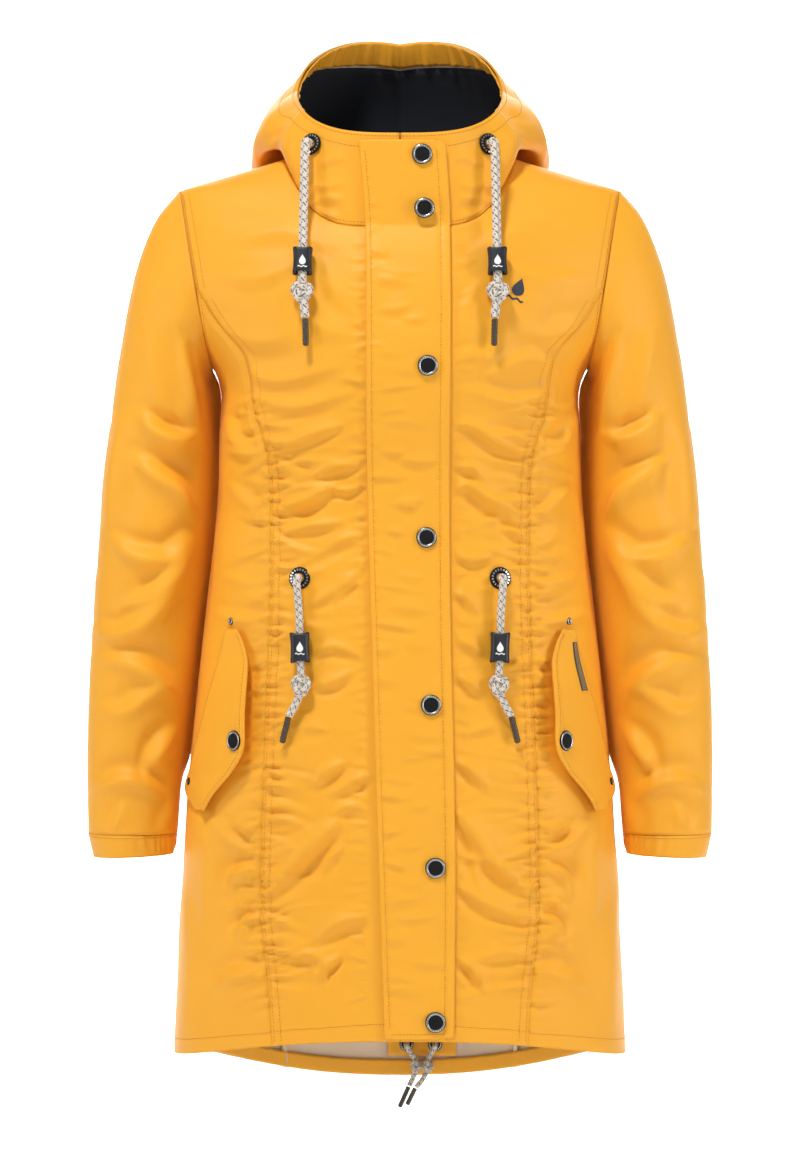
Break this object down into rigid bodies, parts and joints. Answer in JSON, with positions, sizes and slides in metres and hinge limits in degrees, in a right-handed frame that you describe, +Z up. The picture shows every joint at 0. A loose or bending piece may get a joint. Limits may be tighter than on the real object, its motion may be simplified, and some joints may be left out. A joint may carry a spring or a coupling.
{
  "type": "rain parka in its worn form",
  "caption": "Thigh-length yellow rain parka in its worn form, with a laid-back hood, a snapped storm flap, ruched seams, slanted pocket flaps and drawcords.",
  "frame": {"origin": "middle of the wearer's neck at the height of the shoulder seams' inner ends", "axes": "+Z up, +X towards the wearer's left, -Y out of the front"},
  "size_m": [0.594, 0.3331, 1.0568],
  "materials": {
    "coated_cloth": "yellow coated cloth with a soft satin sheen",
    "navy_lining": "matt navy knitted lining",
    "woven_label": "dark woven strip with plain dashes",
    "braided_cord": "off-white braid with dark flecks",
    "tip_metal": "dark ridged metal",
    "lock_plastic": "satin navy plastic",
    "eyelet_metal": "black enamelled metal with pale marks",
    "snap_metal": "black enamelled metal with a silver ring",
    "rivet_metal": "gunmetal"
  },
  "bodies": {
    "root": {"front_centre_right": "coated_cloth", "front_centre_left": "coated_cloth", "front_side_right": "coated_cloth", "front_side_left": "coated_cloth", "back_centre": "coated_cloth", "back_side_right": "coated_cloth", "back_side_left": "coated_cloth", "sleeve_right": "coated_cloth", "sleeve_left": "coated_cloth", "cuff_right": "coated_cloth", "cuff_left": "coated_cloth", "storm_flap": "coated_cloth", "collar_right": "coated_cloth", "collar_left": "coated_cloth", "hood_side_right": "coated_cloth", "hood_side_left": "coated_cloth", "hood_centre": "coated_cloth", "hood_facing": "coated_cloth", "pocket_flap_right": "coated_cloth", "pocket_flap_left": "coated_cloth", "hem_facing_back": "coated_cloth", "hem_eyelet_patch": "coated_cloth", "hood_lining": "navy_lining", "pocket_label": "woven_label", "hood_cord_right": "braided_cord", "hood_cord_left": "braided_cord", "waist_cord_right": "braided_cord", "waist_cord_left": "braided_cord", "hem_cord_right": "braided_cord", "hem_cord_left": "braided_cord", "hood_tip_right": "tip_metal", "hood_tip_left": "tip_metal", "waist_tip_right": "tip_metal", "waist_tip_left": "tip_metal", "hem_tip_right": "tip_metal", "hem_tip_left": "tip_metal", "hood_lock_right": "lock_plastic", "hood_lock_left": "lock_plastic", "waist_lock_right": "lock_plastic", "waist_lock_left": "lock_plastic", "hood_eyelet_right": "eyelet_metal", "hood_eyelet_left": "eyelet_metal", "waist_eyelet_right": "eyelet_metal", "waist_eyelet_left": "eyelet_metal", "hem_eyelet_right": "eyelet_metal", "hem_eyelet_left": "eyelet_metal", "snap_1": "snap_metal", "snap_2": "snap_metal", "snap_3": "snap_metal", "snap_4": "snap_metal", "snap_5": "snap_metal", "snap_6": "snap_metal", "snap_7": "snap_metal", "pocket_snap_right": "snap_metal", "pocket_snap_left": "snap_metal", "rivet_upper_right": "rivet_metal", "rivet_upper_left": "rivet_metal", "rivet_lower_right": "rivet_metal", "rivet_lower_left": "rivet_metal"}
  },
  "joints": []
}
